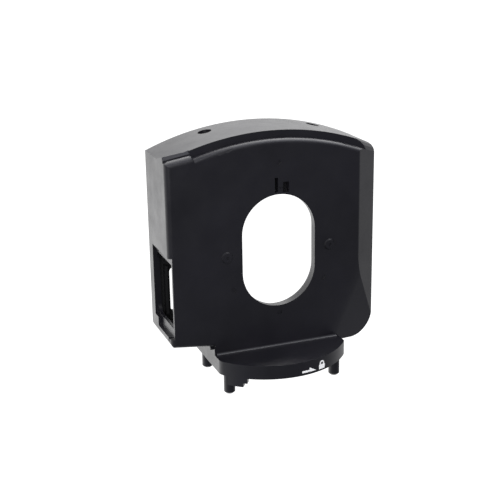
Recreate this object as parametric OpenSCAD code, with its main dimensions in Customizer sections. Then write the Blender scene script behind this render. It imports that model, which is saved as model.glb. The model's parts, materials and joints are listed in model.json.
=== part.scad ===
// Twist-lock mounting block: an arched moulded housing with an obround window and a side finger
// port, carried on a round-fronted locking foot with four pegs and a spring lock plunger.
// Millimetres, +Z up. The origin is on the foot's axis, in the plane that seats on the base.
// -Y is the front, +X is to the right when facing the front plate.

/* [Housing] */
// Distance from the foot axis to the port side wall
body_left = 49; // [44:0.5:56]
// Distance from the foot axis to the bevelled side wall
body_right = 50; // [45:0.5:56]
// Depth of the housing, front plate face to rear edge
body_d = 29.6; // [26:0.2:36]
// Height of the arch's apex above the seat
arch_top = 103.3; // [90:0.1:115]
// Radius of the arched top
arch_r = 120; // [100:1:160]
// Sideways offset of the arch's centre
arch_x = -2; // [-4:0.5:4]
// Moulded wall thickness
wall = 3; // [2.4:0.1:3.6]
// Height of the sloping underside at the port side
base_left = 12.5; // [10:0.1:16]
// Fall of the underside towards the bevelled side, degrees
base_slope = 6.7; // [3:0.1:8]
// Corner radius at the lower right
corner_r = 10.5; // [8:0.5:18]
// Corner radius at the upper right
top_r = 4; // [2:0.5:8]
// Corner radius at the lower left
heel_r = 2.6; // [1:0.1:5]

/* [Front plate] */
// Depth of the step along the top of the front plate
step_d = 3; // [2:0.1:4]
// Height of that step
step_h = 3.2; // [2:0.1:5]
// Edge round of the front plate along the arch and the port side
edge_r = 2.4; // [0.8:0.1:2.8]
// Round along the top of the front plate's shoulder
shoulder_r = 2.8; // [1:0.1:2.9]
// Edge round of the front plate's underside
foot_edge_r = 1.6; // [0.8:0.1:2.4]
// Width of the right-hand bevel, seen from the front
bevel_w = 10.95; // [6:0.05:14]
// Depth of the right-hand bevel
bevel_d = 7.3; // [4:0.1:10]
// Round between the front plate and the bevel
bevel_r = 3; // [1:0.5:6]
// Backward tilt of the lower right facet, degrees
facet_tilt = 19; // [8:1:28]
// Size of the facets that soften the corner of bevel and arch
crown_r = 5; // [3:0.5:7]
// Soft round between the front plate and that facet
facet_r = 32; // [10:1:50]

/* [Window] */
// Width of the obround window
window_w = 33.8; // [28:0.2:40]
// Distance from the arch's apex down to the window
window_above = 27.4; // [25:0.1:32]
// Distance from the seat up to the window
window_below = 25.3; // [23:0.1:30]
// Sideways offset of the window, its rivets and the top sockets
window_x = 1; // [-3:0.5:3]
// Radial width of the retainer ring behind the plate
ring_w = 5; // [4:0.5:6]
// Thickness of the retainer ring
ring_t = 3; // [2:0.5:4]
// How far the ring stands back from the window's edge
ring_back = 1; // [0.5:0.1:1.5]
// Half the distance between the two rivets
rivet_x = 24; // [22:0.5:28]

/* [Side port] */
// Rear edge of the port, measured from the foot axis
port_y = 9.4; // [6:0.2:10]
// Bottom of the through opening
port_z0 = 21; // [18:0.5:26]
// Top of the through opening
port_z1 = 50; // [42:0.5:60]
// Depth of the recess around the opening
recess_t = 1.6; // [1:0.1:2]
// How far the opening runs into the front plate's thickness
port_bite = 1.5; // [0.5:0.1:2]

/* [Foot] */
// Radius of the round front of the foot
foot_r = 36.6; // [33:0.1:42]
// Width across the foot's side flats
foot_w = 59.4; // [54:0.2:66]
// Height of the foot, seat to top face
foot_h = 6.3; // [5:0.1:9]
// Thickness of the foot's top plate
plate_t = 3; // [2:0.1:4]
// Thickness of the foot's skirt
skirt_t = 2.6; // [2:0.1:3.2]
// Peg diameter
peg_d = 5; // [3:0.1:6]
// Peg length below the seat
peg_l = 8.8; // [5:0.1:12]
// Peg spacing, side to side
peg_x = 50; // [44:0.5:51]
// Peg spacing, front to back
peg_y = 30; // [24:0.5:34]
// Front peg row, distance in front of the foot axis
peg_front = 22; // [20:0.5:23]
// Sideways offset of the peg pattern
peg_off = -0.7; // [-1.5:0.1:1.5]
// Corner radius at the foot's left front corner
foot_left_r = 5; // [2:0.5:6]
// Corner radius at the foot's right front corner
foot_right_r = 2.5; // [1.5:0.5:6]
// Drop of the stepped locking lug below the seat
lug_h = 4.1; // [3:0.1:6]

/* [Lock plunger] */
// Lock pin diameter
pin_d = 5; // [4:0.1:6]
// Radial running clearance of the pin and its stem
fit_gap = 0.05; // [0.02:0.01:0.1]
// Lock pin reach below the seat
pin_reach = 6; // [4:0.5:8]
// Outside diameter of the plunger body
sleeve_d = 12; // [11:0.5:14]
// Outside diameter of the coil spring
spring_d = 8; // [7:0.1:8.4]

/* [Fasteners] */
// Cover screw shank diameter
cover_screw_d = 3; // [2.5:0.5:4]
// Foot screw shank diameter
foot_screw_d = 3.5; // [3:0.5:4]
// Clearance hole over each top socket
socket_hole_d = 6; // [5.4:0.2:6.6]
// Thread bore of the top sockets
socket_bore_d = 4.2; // [3.3:0.1:5]
// Half the distance between the top sockets
socket_x = 25.3; // [22:0.1:28]

/* [Hidden] */
eps = 0.01;
y0 = -body_d / 2;              // front plate face
y1 = y0 + step_d;              // rim face of the step, back of the front plate
y2 = body_d / 2;               // rear edge
cover_t = 2.6;
yc = y2 - cover_t;             // inside face of the rear cover
arch_z = arch_top - arch_r;    // height of the arch's centre
sh_z = arch_top - 9.1;         // shoulder of the front plate at the port side
shoulder_a = 9;                // its slope
shoulder_l = 11.8;
window_h = arch_top - window_above - window_below;
window_z = window_below + window_h / 2;
foot_hw = foot_w / 2;
foot_gap = 0.3;                // gap beside the foot's right-hand flat
floor_z = foot_h + wall;
plunger = [-22, -3];
sleeve_z0 = foot_h - plate_t;  // 3.3
sleeve_z1 = sleeve_z0 + 22.7;
shoulder_z = sleeve_z0 + 4.7;
cap_t = 3;
collar_t = 2;
stem_d = 4;
stem_z1 = sleeve_z1 + 12.5;
tab_z = sleeve_z1 + 4.5;       // room for a fingertip under the tab
tab_t = 2.5;
insert_d = 6.8;
insert_z0 = arch_top - 15.3;
insert_z1 = arch_top - 7.3;
socket_y = 7.2;
cover_gap = 0.1;
screw_pts = [[-40.5, arch_top - 18.3], [41, arch_top - 20.3], [-33, 18.5], [40, 20]];
boss_y = y0 + 5.8;             // front end of the right-hand screw bosses
boss_d = 8;                    // foot screw bosses inside the housing
foot_x = -plunger[0] - sleeve_d / 2 - 4;   // half the spacing of the foot screws
hub_r = foot_x - 4;            // hub inside the foot
foot_pts = [for (x = [-foot_x, foot_x], s = [-1, 1]) [x, s * (yc - boss_d / 2 - 0.5)]];
bevel_a = atan2(bevel_d, bevel_w);
facet_lean = 24.2;             // lean of the facet's front edge from upright
facet_p = [body_right - bevel_w - 0.65, y0, 37.2];
front_n = [0, -1, 0];
bevel_n = [sin(bevel_a), -cos(bevel_a), 0];
facet_n = [sin(facet_tilt) * cos(facet_lean), -cos(facet_tilt), -sin(facet_tilt) * sin(facet_lean)];
flank_l = (body_left - foot_hw) / cos(base_slope) + 1.4;   // underside, port side to the foot
dimple_pts = [[-21.2, 35.4], [21.2, 35.4], [0, 22], [0.2, arch_top - 13.7]];
opening_z0 = 12.4;             // rear cover's opening
opening_z1 = arch_top - 32.9;
black = [0.07, 0.07, 0.08];
steel = [0.62, 0.63, 0.65];
brass = [0.78, 0.62, 0.3];
$fn = 64;

// ---------- helpers ----------

// Profile drawn in X and Z, extruded from ya to yb
module yext(ya, yb) translate([0, yb, 0]) rotate([90, 0, 0]) linear_extrude(yb - ya) children();

// Wedge outside a corner circle, between the directions a0 and a1
module corner_trim(c, r, a0, a1) difference() {
    am = (a0 + a1) / 2;
    translate(c) polygon([[0, 0], 60 * [cos(a0), sin(a0)], 90 * [cos(am), sin(am)],
        60 * [cos(a1), sin(a1)]]);
    translate(c) circle(r, $fn = r > 20 ? 360 : 96);
}

// Sharp corner of an edge along +X, left over outside a round of radius r
module edge_trim(r, len, sy) difference() {
    translate([0, sy > 0 ? 0 : -1, -1]) cube([len, r + 1, r + 1]);
    translate([-1, sy > 0 ? r : 0, r]) rotate([0, 90, 0]) cylinder(r = r, h = len + 2);
}

// Rounds the edge where planes with the outward normals na and nb meet at p, over a length
// of l0 one way and l1 the other
module edge_round(p, na, nb, r, l0, l1) {
    d = cross(na, nb) / norm(cross(na, nb));
    theta = acos(d[2]);
    phi = atan2(d[1], d[0]);
    ex = [cos(theta) * cos(phi), cos(theta) * sin(phi), -sin(theta)];
    ey = [-sin(phi), cos(phi), 0];
    aa = atan2(na * ey, na * ex);
    turn = acos(na * nb);
    translate(p) rotate([0, theta, phi]) translate([0, 0, -l0]) linear_extrude(l0 + l1)
        corner_trim(-r / cos(turn / 2) * [cos(aa + turn / 2), sin(aa + turn / 2)], r, aa, aa + turn);
}

// ---------- outlines ----------

// Front outline of the housing, moved in by i all round and by drop more under the arch
module outline(i = 0, drop = 0) {
    lr_x = body_right - corner_r;
    lr_z = base_left + (corner_r - (lr_x + body_left) * sin(base_slope)) / cos(base_slope);
    ll_x = -body_left + heel_r;
    ll_z = base_left + (heel_r - heel_r * sin(base_slope)) / cos(base_slope);
    ur_x = body_right - top_r;
    ur_z = arch_z + sqrt(pow(arch_r - top_r, 2) - pow(ur_x - arch_x, 2));
    difference() {
        intersection() {
            translate([arch_x, arch_z]) circle(arch_r - i - drop, $fn = 240);
            translate([-body_left + i, -20]) square([body_left + body_right - 2 * i, 140]);
            translate([-body_left, base_left]) rotate(-base_slope)
                translate([-20, i]) square([200, 200]);
        }
        corner_trim([lr_x, lr_z], corner_r - i, -90 - base_slope, 0);
        corner_trim([ll_x, ll_z], max(heel_r - i, 0.4), 180, 270 - base_slope);
        if (drop == 0) corner_trim([ur_x, ur_z], max(top_r - i, 0.4), 0,
            atan2(ur_z - arch_z, ur_x - arch_x));
    }
}

// Front plate below the stepped rim, with its straight shoulder at the upper left
module plate_outline() {
    intersection() {
        outline();
        union() {
            translate([arch_x, arch_z]) circle(arch_r - step_h, $fn = 240);
            polygon([[-body_left, sh_z - 30], [-body_left, sh_z],
                [-body_left + shoulder_l, sh_z + shoulder_l * tan(shoulder_a)],
                [-body_left + shoulder_l, sh_z - 30]]);
        }
    }
}

module obround(w, h) for (s = [-1, 1]) union() {
    translate([0, s * (h - w) / 2]) circle(d = w, $fn = 96);
    square([w, h - w], center = true);
}

// ---------- cutters ----------

// Everything in front of the right-hand bevel, moved inwards by i
module bevel_half(i = 0) translate([body_right - bevel_w, y0, 0])
    rotate([0, 0, atan2(bevel_d, bevel_w)]) translate([-60, i - 60, -20]) cube([140, 60, 140]);

// Everything in front of the lower right facet, moved inwards by i
module facet_half(i = 0) translate(facet_p)
    rotate([0, facet_lean, 0]) rotate([0, 0, facet_tilt]) translate([-60, i - 60, -90]) cube([140, 60, 160]);

// Rounds between the front plate, the bevel and the lower right facet
module soft_edges() {
    edge_round([body_right - bevel_w, y0, 0], front_n, bevel_n, bevel_r, 10, 110);
    edge_round(facet_p, front_n, facet_n, facet_r, 60, 12);
    edge_round([-body_left, y0, sh_z], front_n, [-sin(shoulder_a), 0, cos(shoulder_a)],
        shoulder_r, shoulder_l / cos(shoulder_a) + 0.4, 2);
}

// Facets that soften the corner between the bevel and the arch
module crown_trim() {
    crown_x = body_right - bevel_w / 2;
    crown_z = arch_z + sqrt(pow(arch_r, 2) - pow(crown_x - arch_x, 2));
    crown_n = [crown_x - arch_x, 0, crown_z - arch_z] / arch_r;
    turn = acos(bevel_n * crown_n);
    mid = (bevel_n + crown_n) / norm(bevel_n + crown_n);
    c = [crown_x, y0 + bevel_d / 2, crown_z] - crown_r / cos(turn / 2) * mid;
    for (k = [0.25, 0.5, 0.75]) {
        n = (bevel_n * sin(turn * (1 - k)) + crown_n * sin(turn * k)) / sin(turn);
        translate(c + crown_r * n) rotate([0, acos(n[2]), atan2(n[1], n[0])])
            translate([-20, -20, 0]) cube([40, 40, 20]);
    }
}

// Raised front lip along the straight shoulder, falling back to the arch
module shoulder_lip() intersection() {
    translate([-body_left, y1, arch_top - 18]) cube([15, 12, 18]);
    translate([-body_left, y1, arch_top - 7]) rotate([-15.1, -7.8, 0])
        translate([-30, -30, -40]) cube([80, 80, 40]);
}

// Side port: a shallow recess with a through opening in it, open to the front plate's edge
module port_cut() {
    translate([-body_left - 1, 0, 0]) {
        translate([0, y0 - 1, port_z0 - 4.8]) cube([recess_t + 1, 20.8, 6]);
        translate([0, y0 - 1, port_z0 - 0.8])
            cube([recess_t + 1, port_y - y0 + 1, port_z1 - port_z0 + 3.8]);
        difference() {
            translate([0, y1 - port_bite, port_z0])
                cube([wall + 2, port_y - y1 + port_bite, port_z1 - port_z0]);
            for (up = [0, 1]) translate([0, port_y - 4, up ? port_z1 - 4 : port_z0 + 4])
                rotate([0, 90, 0]) difference() {
                    translate([up ? -5 : 0, 0, -1]) cube([5, 5, wall + 4]);
                    translate([0, 0, -2]) cylinder(r = 4, h = wall + 6);
                }
        }
        translate([0, y0 + 3.2, port_z0 - 6.4]) cube([recess_t + 1, 1.4, 2]);
    }
}

// Two slots that free the moulded snap finger above the window
module finger_slots() {
    zt = window_z + window_h / 2;
    yext(y0 - 1, y1 + eps) {
        translate([window_x - 1.7, zt + 0.8]) square([1.5, 6.5]);
        translate([window_x + 2, zt + 0.6]) square([2.8, 4.6]);
    }
    translate([window_x - 0.2 - eps, y0 - 1, zt + 2.4]) cube([2.2 + 2 * eps, 1.5, 0.7]);
}

// ---------- housing ----------

module housing_cavity() difference() {
    union() {
        yext(y1 + wall, y2 + 1) outline(wall);
        yext(y1, y1 + wall + eps) outline(wall, step_h);
    }
    translate([-foot_hw - wall, y0 - 1, -20]) cube([foot_w + 2 * wall, body_d + 4, floor_z + 20]);
    bevel_half(wall);
    facet_half(wall);
}

module front_housing() color(black) difference() {
    union() {
        difference() {
            union() {
                yext(y1, y2) outline();
                yext(y0, y1 + eps) plate_outline();
                shoulder_lip();
                translate([-foot_hw, y0, foot_h]) cube([foot_w, body_d, 12]);
            }
            housing_cavity();
        }
        // cover screw bosses
        for (p = screw_pts) translate([p[0], p[0] < 0 ? y1 - 1 : boss_y, p[1]]) rotate([-90, 0, 0])
            cylinder(d = 7, h = p[0] < 0 ? yc - y1 + 1 : yc - boss_y);
        // foot screw bosses
        for (p = foot_pts) translate([p[0], p[1], floor_z - 1]) cylinder(d = boss_d, h = 6.2);
        // top socket bosses
        for (s = [-1, 1]) translate([window_x + s * socket_x, socket_y, insert_z0])
            cylinder(d = 9.6, h = 10.3);
        // stiffening ribs of the plunger well
        translate([plunger[0] - 9, y1 - 1, floor_z - 1]) cube([1.8, 20, 5]);
    }
    bevel_half();
    facet_half();
    soft_edges();
    crown_trim();
    port_cut();
    finger_slots();
    yext(y0 - 1, y1 + 1) translate([window_x, window_z]) obround(window_w, window_h);
    // room for the foot
    translate([-foot_hw - 1, y0 - 1, -20]) cube([foot_w + 1 + foot_gap, body_d + 2, 20 + foot_h]);
    // rounds of the front plate: port side, arch, underside
    translate([-body_left, y0, 0]) difference() {
        translate([-1, -1, 5]) cube([edge_r + 1, edge_r + 1, arch_top - 9.8]);
        translate([edge_r, edge_r, 0]) cylinder(r = edge_r, h = 120);
    }
    translate([-body_left, y0, base_left]) rotate([0, base_slope, 0])
        translate([-1, 0, 0]) edge_trim(foot_edge_r, flank_l, 1);
    translate([-body_left, y2 - 3.5, base_left]) rotate([0, base_slope, 0])
        translate([-1, 0, 0]) edge_trim(3.5, flank_l, -1);
    translate([arch_x, y0, arch_z]) rotate([-90, 0, 0]) rotate([0, 0, -107.2])
        rotate_extrude(angle = 44.2, $fn = 240) difference() {
            translate([arch_r - step_h - edge_r, -1]) square([edge_r + 1, edge_r + 1]);
            translate([arch_r - step_h - edge_r, edge_r]) circle(edge_r, $fn = 48);
        }
    // sloping ledge under the shoulder lip
    translate([-body_left - 1, y1, arch_top - 8.8]) rotate([0, -9.4, 0]) rotate([-38.5, 0, 0])
        translate([0, -10, 0]) cube([13, 10, 6]);
    // shallow locating dimples around the window
    for (p = dimple_pts) translate([window_x + p[0], y0 - 1, p[1]]) rotate([0, 45 * sign(-p[0]), 0])
        translate([-1.1, 0, -0.7]) cube([2.2, 1.5, 1.4]);
    // bores
    for (s = [-1, 1]) {
        translate([window_x + s * rivet_x, y0 - 1, window_z - 0.1]) rotate([-90, 0, 0])
            cylinder(d = 3, h = wall + 2);
        translate([window_x + s * socket_x, socket_y, insert_z1 - eps])
            cylinder(d = socket_hole_d, h = 20);
        translate([window_x + s * socket_x, socket_y, insert_z0 - 1])
            cylinder(d = insert_d, h = insert_z1 - insert_z0 + 1);
    }
    for (p = screw_pts) translate([p[0], yc - 9, p[1]]) rotate([-90, 0, 0])
        cylinder(d = 4.6, h = 12);
    for (p = foot_pts) translate([p[0], p[1], foot_h - 1]) cylinder(d = 5, h = 8);
    translate([plunger[0], plunger[1], foot_h - 1]) cylinder(d = sleeve_d + 0.4, h = 12);
    translate([plunger[0], plunger[1], floor_z]) cylinder(d = sleeve_d + 3.4, h = 12);
}

module rear_cover() color(black) difference() {
    union() {
        difference() {
            yext(yc, y2) outline(wall + cover_gap);
            translate([-foot_hw - wall - cover_gap, yc - 1, -20])
                cube([foot_w + 2 * (wall + cover_gap), cover_t + 2, floor_z + cover_gap + 20]);
        }
        // guide rib beside the cable slot
        translate([-43.9, yc - 2.8, 19]) cube([1.3, 2.8 + eps, 23]);
        // stiffening rib over the opening
        translate([window_x - 24, yc - 2.4, arch_top - 23.3]) cube([48, 2.4 + eps, 2]);
    }
    // main opening behind the window
    yext(yc - 4, y2 + 1) difference() {
        translate([-19, opening_z0]) square([55, opening_z1 - opening_z0]);
        for (k = [0, 1]) {
            corner_trim([k ? 30 : -13, opening_z0 + 6], 6, 180 + 90 * k, 270 + 90 * k);
            corner_trim([k ? 30 : -13, opening_z1 - 6], 6, 90 - 90 * k, 180 - 90 * k);
        }
    }
    // cable slot near the port side
    translate([-39.05, yc - 4, 29.5]) rotate([-90, 0, 0]) linear_extrude(cover_t + 6)
        obround(4, 21);
    for (p = screw_pts) translate([p[0], y2, p[1]]) rotate([90, 0, 0]) {
        translate([0, 0, -1]) cylinder(d = cover_screw_d + 0.4, h = cover_t + 2);
        cylinder(d1 = cover_screw_d + 3.2, d2 = cover_screw_d + 0.2, h = 1.5);
        translate([0, 0, -1]) cylinder(d = cover_screw_d + 3.2, h = 1 + eps);
    }
}

// ---------- window ----------

module window_ring() color(black) difference() {
    yext(y1, y1 + ring_t) translate([window_x, window_z]) difference() {
        union() {
            obround(window_w + 2 * (ring_back + ring_w), window_h + 2 * (ring_back + ring_w));
            for (s = [-1, 1]) translate([s * rivet_x, -0.1]) circle(d = 8.4);
        }
        difference() {
            obround(window_w + 2 * ring_back, window_h + 2 * ring_back);
            // tongue behind the snap finger
            translate([-2.4, window_h / 2 - 0.3]) square([7.8, 3]);
        }
    }
    for (s = [-1, 1]) translate([window_x + s * rivet_x, y1 - 1, window_z - 0.1])
        rotate([-90, 0, 0]) cylinder(d = 3, h = ring_t + 2);
}

module window_rivets() color(black) for (s = [-1, 1])
    translate([window_x + s * rivet_x, 0, window_z - 0.1]) difference() {
        union() {
            translate([0, y0 - 0.7, 0]) rotate([-90, 0, 0]) cylinder(d1 = 4.2, d2 = 5, h = 0.7);
            translate([0, y0 - eps, 0]) rotate([-90, 0, 0]) cylinder(d = 3, h = step_d + ring_t + 0.1);
            translate([0, y1 + ring_t, 0]) rotate([-90, 0, 0]) cylinder(d1 = 5, d2 = 4.2, h = 0.9);
        }
        translate([0, y0 - 1, 0]) rotate([-90, 0, 0]) cylinder(d = 1.2, h = 0.8);
    }

// ---------- fasteners ----------

module rear_cover_screws() color(steel) for (p = screw_pts)
    translate([p[0], y2, p[1]]) rotate([90, 0, 0]) difference() {
        union() {
            cylinder(d1 = cover_screw_d + 3, d2 = cover_screw_d, h = 1.5);
            cylinder(d = cover_screw_d, h = 10);
        }
        for (a = [0, 90]) rotate([0, 0, a]) translate([-1.5, -0.35, -1]) cube([3, 0.7, 1.9]);
    }

module cover_screw_inserts() color(brass) for (p = screw_pts)
    translate([p[0], yc, p[1]]) rotate([90, 0, 0]) difference() {
        cylinder(d = 4.6, h = 7);
        translate([0, 0, -1]) cylinder(d = cover_screw_d, h = 9);
    }

module top_socket_inserts() color(brass) for (s = [-1, 1])
    translate([window_x + s * socket_x, socket_y, insert_z0]) difference() {
        cylinder(d = insert_d, h = insert_z1 - insert_z0);
        translate([0, 0, -1]) cylinder(d = socket_bore_d, h = insert_z1 - insert_z0 + 2);
    }

module foot_screws() color(steel) for (p = foot_pts) translate([p[0], p[1], 0]) difference() {
    union() {
        translate([0, 0, sleeve_z0 - 2.1]) cylinder(d1 = 5.4, d2 = 6.4, h = 2.1);
        translate([0, 0, sleeve_z0 - eps]) cylinder(d = foot_screw_d, h = 9);
    }
    for (a = [0, 90]) rotate([0, 0, a]) translate([-1.6, -0.4, 0]) cube([3.2, 0.8, 2.3]);
}

module foot_screw_inserts() color(brass) for (p = foot_pts)
    translate([p[0], p[1], foot_h]) difference() {
        cylinder(d = 5, h = 6.5);
        translate([0, 0, -1]) cylinder(d = foot_screw_d, h = 9);
    }

// ---------- foot ----------

module foot_outline(i = 0) {
    difference() {
        intersection() {
            circle(foot_r - i, $fn = 240);
            translate([-foot_hw + i, -60]) square([foot_w - 2 * i, 60 + y2 - i]);
        }
        for (k = [0, 1]) {
            r = k ? foot_right_r : foot_left_r;
            cx = (2 * k - 1) * (foot_hw - r);
            cy = -sqrt(pow(foot_r - r, 2) - pow(cx, 2));
            if (k) corner_trim([cx, cy], max(r - i, 0.4), atan2(cy, cx), 0);
            else corner_trim([cx, cy], max(r - i, 0.4), 180, 360 + atan2(cy, cx));
        }
    }
}

// Part of the round skirt between two angles, carried below the seat by h
module skirt_drop(a0, a1, h) translate([0, 0, -h]) linear_extrude(h + 1) intersection() {
    difference() {
        foot_outline();
        circle(foot_r - skirt_t, $fn = 240);
    }
    polygon([[0, 0], 60 * [cos(a0), sin(a0)], 60 * [cos(a1), sin(a1)]]);
}

module pegs() for (x = [-peg_x / 2, peg_x / 2], y = [-peg_front, peg_y - peg_front])
    translate([peg_off + x, y, -peg_l]) {
        cylinder(d1 = peg_d - 1.6, d2 = peg_d, h = 0.8 + eps);
        translate([0, 0, 0.8]) cylinder(d = peg_d, h = peg_l + foot_h - plate_t + 0.2);
    }

module twist_lock_foot() color(black) difference() {
    union() {
        difference() {
            linear_extrude(foot_h) foot_outline();
            difference() {
                translate([0, 0, -1]) linear_extrude(1 + foot_h - plate_t) foot_outline(skirt_t);
                translate([0, 0, -2]) cylinder(r = hub_r, h = 20);
                for (p = foot_pts) translate([p[0], p[1], 0]) cylinder(d = 11, h = 20);
            }
        }
        // bead that closes the joint with the front plate
        translate([-foot_hw + 1, y0, foot_h - eps]) rotate([0, 90, 0]) difference() {
            translate([-1.2, -1.2, 0]) cube([1.2 + eps, 1.2, foot_w - 2]);
            translate([-1.2, -1.2, -1]) cylinder(r = 1.2, h = foot_w);
        }
        // stepped locking lug and the deeper skirt beside it
        skirt_drop(221.5, 233, lug_h);
        skirt_drop(221.5, 236, lug_h - 1.8);
        // matching lug at the back edge
        translate([12, y2 - skirt_t, -lug_h]) cube([10, skirt_t, lug_h + 1]);
        pegs();
    }
    for (p = foot_pts) translate([p[0], p[1], -1]) {
        cylinder(d = foot_screw_d + 0.4, h = 20);
        cylinder(d = 7, h = 1 + foot_h - plate_t);
    }
    translate([plunger[0], plunger[1], -10]) cylinder(d = sleeve_d, h = 30);
}

module anti_rattle_pad() color([0.12, 0.12, 0.12]) translate([0, 0, foot_h - plate_t - 1.2])
    difference() {
        cylinder(r = hub_r + 2.8, h = 1.2);
        translate([0, 0, -1]) cylinder(r = hub_r, h = 4);
        for (p = foot_pts) translate([p[0], p[1], -1]) cylinder(d = 11.6, h = 4);
    }

// Arrow and closed padlock printed on the round front of the foot
module lock_print() color([0.95, 0.95, 0.95]) intersection() {
    difference() {
        translate([0, 0, -1]) cylinder(r = foot_r + 0.08, h = foot_h + 2, $fn = 240);
        translate([0, 0, -2]) cylinder(r = foot_r, h = foot_h + 4, $fn = 240);
    }
    union() {
        rotate([0, 0, 9.5]) yext(-foot_r - 1, -foot_r + 4) translate([0, 1.7])
            polygon([[-3.5, -0.5], [-3.5, 0.4], [0.2, 0.4], [0.2, 1.45], [3.6, -0.5]]);
        rotate([0, 0, 20.5]) yext(-foot_r - 1, -foot_r + 3) {
            translate([-1.7, 0.9]) square([3.4, 2]);
            translate([0, 2.9]) difference() {
                union() {
                    translate([0, 0.5]) circle(1.3);
                    translate([-1.3, -0.3]) square([2.6, 0.8]);
                }
                union() {
                    translate([0, 0.5]) circle(0.7);
                    translate([-0.7, 0]) square([1.4, 0.5]);
                }
            }
        }
    }
}

// ---------- lock plunger ----------

module at_plunger(z) translate([plunger[0], plunger[1], z]) children();

module plunger_body() color(black) at_plunger(0) difference() {
    union() {
        translate([0, 0, sleeve_z0]) cylinder(d = sleeve_d, h = sleeve_z1 - sleeve_z0);
        translate([0, 0, floor_z]) cylinder(d = sleeve_d + 3, h = 1.5);
    }
    translate([0, 0, sleeve_z0 - 1]) cylinder(r = pin_d / 2 + fit_gap, h = 30);
    translate([0, 0, shoulder_z]) cylinder(d = spring_d + 1.2, h = 30);
}

module plunger_cap() color(brass) at_plunger(sleeve_z1 - cap_t) difference() {
    cylinder(d = spring_d + 1.2, h = cap_t);
    translate([0, 0, -1]) cylinder(r = stem_d / 2 + fit_gap, h = cap_t + 2);
}

module lock_pin() color(steel) at_plunger(0) {
    translate([0, 0, -pin_reach]) cylinder(d1 = pin_d - 1.4, d2 = pin_d, h = 0.8);
    translate([0, 0, -pin_reach + 0.8 - eps])
        cylinder(d = pin_d, h = shoulder_z + 0.3 + pin_reach - 0.8 + 2 * eps);
    translate([0, 0, shoulder_z + 0.3]) cylinder(d = spring_d - 0.2, h = collar_t);
    translate([0, 0, shoulder_z + 1]) cylinder(d = stem_d, h = stem_z1 - shoulder_z - 1);
}

module lock_spring() color(steel) at_plunger(shoulder_z + 0.3 + collar_t) difference() {
    cylinder(d = spring_d, h = sleeve_z1 - cap_t - shoulder_z - 0.3 - collar_t);
    translate([0, 0, -1]) cylinder(d = spring_d - 2.6, h = 30);
}

module release_tab() color(black) difference() {
    union() {
        translate([-43, plunger[1] - 4, tab_z]) cube([26, 8, tab_t]);
        translate([-43, plunger[1] - 4, tab_z - 1.6]) cube([2, 8, 1.6 + eps]);
        for (k = [0:3]) translate([-40 + 2 * k, plunger[1] - 4, tab_z - 0.6]) cube([0.9, 8, 0.7]);
        at_plunger(tab_z - 1.5) cylinder(d = 7.6, h = 1.5 + eps);
    }
    at_plunger(tab_z - 5) cylinder(d = stem_d, h = 20);
}

module tab_washer() color(steel) at_plunger(tab_z + tab_t) difference() {
    cylinder(d = 7.4, h = 0.7);
    translate([0, 0, -1]) cylinder(d = stem_d, h = 3);
}

module tab_nut() color(steel) at_plunger(tab_z + tab_t + 0.7) difference() {
    cylinder(d = 7.4, h = 3, $fn = 6);
    translate([0, 0, -1]) cylinder(d = stem_d, h = 5);
}

front_housing();
rear_cover();
twist_lock_foot();
window_ring();
window_rivets();
rear_cover_screws();
cover_screw_inserts();
top_socket_inserts();
foot_screws();
foot_screw_inserts();
plunger_body();
plunger_cap();
lock_pin();
lock_spring();
release_tab();
tab_washer();
tab_nut();
anti_rattle_pad();
lock_print();
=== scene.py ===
"""Looks of the twist-lock mounting block: satin black moulded plastic in a plain white studio.
Metres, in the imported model's own frame: +Z up, -Y is the front plate, origin on the foot's axis."""
import json
import math

import bpy
from mathutils import Matrix, Vector


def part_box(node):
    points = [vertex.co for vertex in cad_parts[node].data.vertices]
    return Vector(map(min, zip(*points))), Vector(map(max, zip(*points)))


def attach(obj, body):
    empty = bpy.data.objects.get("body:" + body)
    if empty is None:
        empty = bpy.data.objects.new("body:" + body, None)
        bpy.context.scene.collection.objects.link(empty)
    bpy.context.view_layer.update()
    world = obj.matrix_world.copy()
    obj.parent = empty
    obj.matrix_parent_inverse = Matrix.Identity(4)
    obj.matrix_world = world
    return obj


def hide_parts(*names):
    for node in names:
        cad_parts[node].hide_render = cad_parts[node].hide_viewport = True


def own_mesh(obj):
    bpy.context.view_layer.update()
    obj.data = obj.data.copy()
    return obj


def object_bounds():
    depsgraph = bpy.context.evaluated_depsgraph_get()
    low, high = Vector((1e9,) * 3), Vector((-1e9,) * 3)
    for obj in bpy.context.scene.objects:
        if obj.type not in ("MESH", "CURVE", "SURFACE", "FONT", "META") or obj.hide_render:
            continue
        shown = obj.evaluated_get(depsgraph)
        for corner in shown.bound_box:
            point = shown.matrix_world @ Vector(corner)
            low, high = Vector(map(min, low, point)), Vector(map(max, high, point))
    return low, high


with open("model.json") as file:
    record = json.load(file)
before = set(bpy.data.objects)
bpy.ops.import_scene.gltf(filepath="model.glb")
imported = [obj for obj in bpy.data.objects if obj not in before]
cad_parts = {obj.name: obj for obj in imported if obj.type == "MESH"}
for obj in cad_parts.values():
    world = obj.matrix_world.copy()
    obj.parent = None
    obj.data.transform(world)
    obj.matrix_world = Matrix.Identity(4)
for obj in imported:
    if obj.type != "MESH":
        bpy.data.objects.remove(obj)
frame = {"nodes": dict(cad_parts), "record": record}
cad_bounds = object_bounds()
nodes = frame["nodes"]

MM = 0.001
RELIEF_DEPTH = 0.02 * MM        # depth of every surface grain
STUDIO_WHITE = 1.25             # strength at which backdrop and floor render plain white
SPRING_WIRE = 1.1               # mm
SPRING_TURNS = 4.6              # open turns, without the closed ends


# ---------- node helpers ----------

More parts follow.
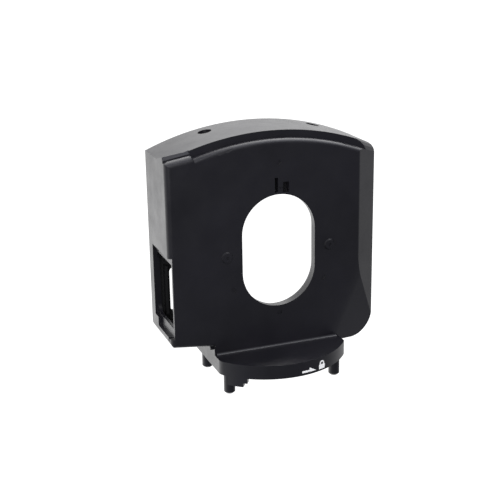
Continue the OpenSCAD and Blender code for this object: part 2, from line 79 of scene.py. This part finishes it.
class Graph:
    """A short way to write a node tree."""

    def __init__(self, tree):
        self.tree = tree

    def feed(self, socket, value):
        if isinstance(value, bpy.types.NodeSocket):
            self.tree.links.new(value, socket)
        else:
            socket.default_value = value

    def add(self, kind, inputs=None, **settings):
        node = self.tree.nodes.new(kind)
        for key, value in settings.items():
            setattr(node, key, value)
        for key, value in (inputs or {}).items():
            self.feed(node.inputs[key], value)
        return node

    def math(self, operation, a, b):
        node = self.add("ShaderNodeMath", operation=operation)
        self.feed(node.inputs[0], a)
        self.feed(node.inputs[1], b)
        return node.outputs[0]

    def noise(self, place, scale, detail, roughness):
        return self.add("ShaderNodeTexNoise", {"Vector": place, "Scale": scale, "Detail": detail,
                                               "Roughness": roughness}).outputs["Fac"]

    def span(self, value, reach, levels, **settings):
        """Maps a value that runs over reach onto levels."""
        return self.add("ShaderNodeMapRange", {"Value": value,
                                               "From Min": reach[0], "From Max": reach[1],
                                               "To Min": levels[0], "To Max": levels[1]},
                        **settings).outputs[0]

    def ramp(self, fac, stops):
        node = self.add("ShaderNodeValToRGB", {"Fac": fac})
        ramp = node.color_ramp
        while len(ramp.elements) < len(stops):
            ramp.elements.new(0.5)
        for element, (place, colour) in zip(ramp.elements, stops):
            element.position = place
            element.color = (*colour, 1)
        return node.outputs["Color"]

    def relief(self, height, strength):
        return self.add("ShaderNodeBump", {"Height": height, "Strength": strength,
                                           "Distance": RELIEF_DEPTH}).outputs["Normal"]

    def surface(self, inputs):
        shader = self.add("ShaderNodeBsdfPrincipled", inputs)
        self.add("ShaderNodeOutputMaterial", {"Surface": shader.outputs[0]})


def new_material(name):
    material = bpy.data.materials.new(name)
    material.use_nodes = True
    material.node_tree.nodes.clear()
    return material, Graph(material.node_tree)


def scaled(colour, share):
    return tuple(min(channel * share, 1) for channel in colour)


# ---------- materials ----------

def moulded_plastic(name, colour, rough=(0.32, 0.42), grain=0.22, relief=0.25):
    """Moulded plastic: an eroded-die grain (in mm), soft tone drift, faint rubbing and some dust."""
    material, g = new_material(name)
    place = g.add("ShaderNodeTexCoord").outputs["Object"]
    drift = g.noise(place, 28.0, 4.0, 0.55)
    tone = g.ramp(drift, [(0.32, scaled(colour, 0.72)), (0.5, colour), (0.7, scaled(colour, 1.28))])
    dust = g.add("ShaderNodeTexVoronoi", {"Vector": place, "Scale": 260.0}).outputs["Distance"]
    specks = g.ramp(dust, [(0.0, (1, 1, 1)), (0.035, (0, 0, 0))])
    lint = g.add("ShaderNodeMix", {"Factor": g.math("MULTIPLY", specks, 0.2), "A": tone,
                                   "B": (0.16, 0.16, 0.165, 1)}, data_type="RGBA")
    rub = g.noise(place, 75.0, 6.0, 0.7)
    fine = g.noise(place, 1.0 / (grain * MM), 2.5, 0.6)
    pits = g.add("ShaderNodeTexVoronoi", {"Vector": place, "Scale": 0.55 / (grain * MM),
                                          "Randomness": 1.0}).outputs["Distance"]
    height = g.math("ADD", g.math("MULTIPLY", fine, 0.7), g.math("MULTIPLY", pits, 0.5))
    g.surface({"Base Color": lint.outputs["Result"], "Roughness": g.span(rub, (0.35, 0.68), rough),
               "IOR": 1.5, "Normal": g.relief(height, relief)})
    return material


def worked_metal(name, colour, rough=(0.22, 0.38)):
    """Drawn or ground metal: fine lines along the Z axis, drifting tone and gloss."""
    material, g = new_material(name)
    place = g.add("ShaderNodeTexCoord").outputs["Object"]
    long = g.add("ShaderNodeMapping", {"Vector": place, "Scale": (12, 12, 1)}).outputs[0]
    marks = g.noise(long, 540.0, 5.0, 0.65)
    drift = g.noise(place, 220.0, 3.0, 0.5)
    tone = g.ramp(g.math("ADD", g.math("MULTIPLY", marks, 0.6), g.math("MULTIPLY", drift, 0.4)),
                  [(0.3, scaled(colour, 0.7)), (0.52, colour), (0.72, scaled(colour, 1.15))])
    g.surface({"Base Color": tone, "Roughness": g.span(marks, (0.3, 0.7), rough),
               "Metallic": 1.0, "Normal": g.relief(marks, 0.12)})
    return material


def printed_ink(name, colour):
    """Pad-printed ink: a little thin in places, on grained plastic."""
    material, g = new_material(name)
    place = g.add("ShaderNodeTexCoord").outputs["Object"]
    wear = g.noise(place, 1600.0, 4.0, 0.7)
    tone = g.ramp(wear, [(0.25, scaled(colour, 0.72)), (0.45, colour), (1.0, colour)])
    g.surface({"Base Color": tone, "Roughness": g.span(wear, (0.0, 1.0), (0.45, 0.7)),
               "Normal": g.relief(wear, 0.2)})
    return material


MATERIALS = {
    "housing_plastic": moulded_plastic("housing_plastic", (0.0070, 0.0066, 0.0096)),
    "foot_plastic": moulded_plastic("foot_plastic", (0.0054, 0.0052, 0.0078)),
    "cover_plastic": moulded_plastic("cover_plastic", (0.009, 0.009, 0.010), (0.4, 0.5), 0.3),
    "ring_plastic": moulded_plastic("ring_plastic", (0.008, 0.008, 0.0095), (0.2, 0.3), 0.3, 0.1),
    "rivet_plastic": moulded_plastic("rivet_plastic", (0.0078, 0.0074, 0.0104), (0.3, 0.4)),
    "tab_plastic": moulded_plastic("tab_plastic", (0.011, 0.011, 0.012)),
    "sleeve_plastic": moulded_plastic("sleeve_plastic", (0.012, 0.012, 0.013)),
    "pad_rubber": moulded_plastic("pad_rubber", (0.014, 0.014, 0.014), (0.7, 0.85), 0.5, 0.5),
    "screw_steel": worked_metal("screw_steel", (0.05, 0.05, 0.055), (0.3, 0.45)),
    "insert_brass": worked_metal("insert_brass", (0.75, 0.56, 0.27)),
    "pin_steel": worked_metal("pin_steel", (0.58, 0.585, 0.6)),
    "spring_steel": worked_metal("spring_steel", (0.45, 0.455, 0.47)),
    "print_paint": printed_ink("print_paint", (0.97, 0.97, 0.97)),
}
for part in frame["record"]["subparts"]:
    mesh = nodes[part["node"]].data
    mesh.materials.clear()
    mesh.materials.append(MATERIALS[part["material_slot"]])


# ---------- edges ----------

def soften(node, width, angle):
    """Rounds a CAD node's edges sharper than angle as a mould leaves them, by modifiers alone."""
    piece = nodes[node]
    weld = piece.modifiers.new("weld", "WELD")
    weld.merge_threshold = 0.002 * MM
    flat = piece.modifiers.new("flatten", "DECIMATE")
    flat.decimate_type = "DISSOLVE"
    flat.angle_limit = math.radians(0.2)
    bevel = piece.modifiers.new("rounds", "BEVEL")
    bevel.width = width * MM
    bevel.segments = 3
    bevel.limit_method = "ANGLE"
    bevel.angle_limit = math.radians(angle)
    bevel.use_clamp_overlap = True
    bevel.harden_normals = False
    even = piece.modifiers.new("normals", "WEIGHTED_NORMAL")
    even.mode = "FACE_AREA"
    even.weight = 50
    even.keep_sharp = False


soften("front_housing", 0.25, angle=17.5)
soften("twist_lock_foot", 0.2, angle=17.5)


# ---------- lock spring ----------

def coil_path(at, z0, z1, radius, wire, turns, closed=0.9, steps=28):
    """Centre line of a compression spring with ground, closed ends, from z0 to z1, all in mm."""
    total = turns + 2 * closed
    points = []
    count = int(total * steps)
    for i in range(count + 1):
        turn = total * i / count
        if turn < closed:
            z = z0 + wire * 0.5 + turn * wire
        elif turn > total - closed:
            z = z1 - wire * 0.5 - (total - turn) * wire
        else:
            low = z0 + wire * 0.5 + closed * wire
            high = z1 - wire * 0.5 - closed * wire
            z = low + (high - low) * (turn - closed) / turns
        a = 2 * math.pi * turn
        points.append(Vector((at[0] + radius * math.cos(a), at[1] + radius * math.sin(a), z)) * MM)
    return points


def wire_mesh(name, points, wire, sides=12):
    """A round wire swept along a centre line, with capped ends."""
    verts, faces = [], []
    for i, point in enumerate(points):
        ahead = points[min(i + 1, len(points) - 1)] - points[max(i - 1, 0)]
        ahead.normalize()
        side = ahead.cross(Vector((0, 0, 1))).normalized()
        up = side.cross(ahead)
        for k in range(sides):
            a = 2 * math.pi * k / sides
            verts.append(point + (side * math.cos(a) + up * math.sin(a)) * wire / 2 * MM)
    for i in range(len(points) - 1):
        for k in range(sides):
            a, b = i * sides + k, i * sides + (k + 1) % sides
            faces.append((a, b, b + sides, a + sides))
    faces.append(tuple(reversed(range(sides))))
    faces.append(tuple(range((len(points) - 1) * sides, len(points) * sides)))
    mesh = bpy.data.meshes.new(name)
    mesh.from_pydata(verts, [], faces)
    mesh.polygons.foreach_set("use_smooth", [len(f) == 4 for f in faces])
    piece = bpy.data.objects.new(name, mesh)
    bpy.context.scene.collection.objects.link(piece)
    return piece


def lock_spring_coil():
    """A real coil for the CAD's plain tube. It is 12.7 mm long at rest; the spring is 5.5 mm shorter when
    lifted, but this coil keeps its rest length.
    """
    low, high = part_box("lock_spring")
    middle = [(a + b) / 2 / MM for a, b in zip(low, high)]
    radius = (high[0] - low[0]) / 2 / MM - SPRING_WIRE / 2
    path = coil_path(middle, low[2] / MM, high[2] / MM, radius, SPRING_WIRE, SPRING_TURNS)
    spring = wire_mesh("lock_spring_coil", path, SPRING_WIRE)
    spring.data.materials.append(MATERIALS["spring_steel"])
    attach(spring, "block")
    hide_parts("lock_spring")
    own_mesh(spring)


lock_spring_coil()


# ---------- studio ----------

def stage_floor():
    """A plain white floor under the object that only the camera sees."""
    gap = 0.05 * MM
    bpy.ops.mesh.primitive_plane_add(size=12.0, location=(0, 0, cad_bounds[0][2] - gap))
    floor = bpy.context.object
    floor.name = "studio_floor"
    material, g = new_material("studio_floor")
    white = g.add("ShaderNodeEmission", {"Color": (1, 1, 1, 1), "Strength": STUDIO_WHITE})
    g.add("ShaderNodeOutputMaterial", {"Surface": white.outputs[0]})
    floor.data.materials.append(material)
    floor.visible_glossy = False
    floor.visible_diffuse = False
    floor.visible_shadow = False


def studio_world():
    """A soft white surround. It is bright behind the object, dim on the camera's side and to the
    right, a little dimmer higher up, and has a strong glow overhead on the right."""
    world = bpy.data.worlds.new("studio")
    bpy.context.scene.world = world
    world.use_nodes = True
    world.node_tree.nodes.clear()
    g = Graph(world.node_tree)
    way = g.add("ShaderNodeTexCoord").outputs["Generated"]
    split = g.add("ShaderNodeSeparateXYZ", {"Vector": way})
    x, y, z = (split.outputs[axis] for axis in "XYZ")
    glow = g.ramp(g.span(y, (-1.0, 1.0), (0.0, 1.0)),
                  [(0.0, (0.16, 0.165, 0.18)), (0.3, (0.35, 0.36, 0.4)), (0.5, (0.9, 0.9, 0.92)),
                   (0.8, (1.7, 1.7, 1.7)), (1.0, (1.9, 1.9, 1.9))])
    flank = g.span(x, (0.15, 0.8), (1.0, 0.56))
    fade = g.span(z, (-0.3, 0.35), (1.0, 0.8))
    side = g.span(x, (0.0, 0.26), (0.06, 1.0), interpolation_type="SMOOTHSTEP")
    high = g.span(z, (0.42, 0.86), (0.0, 5.6), interpolation_type="SMOOTHSTEP")
    level = g.math("ADD", g.math("MULTIPLY", flank, fade), g.math("MULTIPLY", side, high))
    surround = g.add("ShaderNodeBackground", {"Color": glow, "Strength": level})
    seen = g.add("ShaderNodeBackground", {"Color": (1, 1, 1, 1), "Strength": STUDIO_WHITE})
    ray = g.add("ShaderNodeLightPath").outputs["Is Camera Ray"]
    mix = g.add("ShaderNodeMixShader", {0: ray, 1: surround.outputs[0], 2: seen.outputs[0]})
    g.add("ShaderNodeOutputWorld", {"Surface": mix.outputs[0]})


def soft_box(name, place, target, size, watts):
    light = bpy.data.lights.new(name, "AREA")
    light.shape = "RECTANGLE"
    light.size, light.size_y = size
    light.energy = watts
    lamp = bpy.data.objects.new(name, light)
    lamp.location = place
    lamp.rotation_euler = (Vector(target) - Vector(place)).to_track_quat("-Z", "Y").to_euler()
    bpy.context.scene.collection.objects.link(lamp)


def camera():
    """A long lens, a little to the port side and above, tilted very slightly off level."""
    target = Vector((-12.47, -14.80, 52.63)) * MM
    distance = 466.4 * MM
    azimuth, elevation, roll = math.radians(-20.50), math.radians(18.11), math.radians(-0.933)
    out = Vector((math.sin(azimuth) * math.cos(elevation), -math.cos(azimuth) * math.cos(elevation),
                  math.sin(elevation)))
    data = bpy.data.cameras.new("camera")
    data.lens = 78.16
    data.sensor_width = 36.0
    data.clip_start = 0.01
    lens = bpy.data.objects.new("camera", data)
    turn = (-out).to_track_quat("-Z", "Y").to_matrix() @ Matrix.Rotation(roll, 3, "Z")
    lens.matrix_world = Matrix.Translation(target + out * distance) @ turn.to_4x4()
    bpy.context.scene.collection.objects.link(lens)
    bpy.context.scene.camera = lens


stage_floor()
studio_world()
soft_box("key", place=(-0.36, -0.72, 0.42), target=(0.0, 0.0, 0.04), size=(0.5, 0.5), watts=6.2)
camera()
bpy.context.scene.view_settings.view_transform = "Standard"
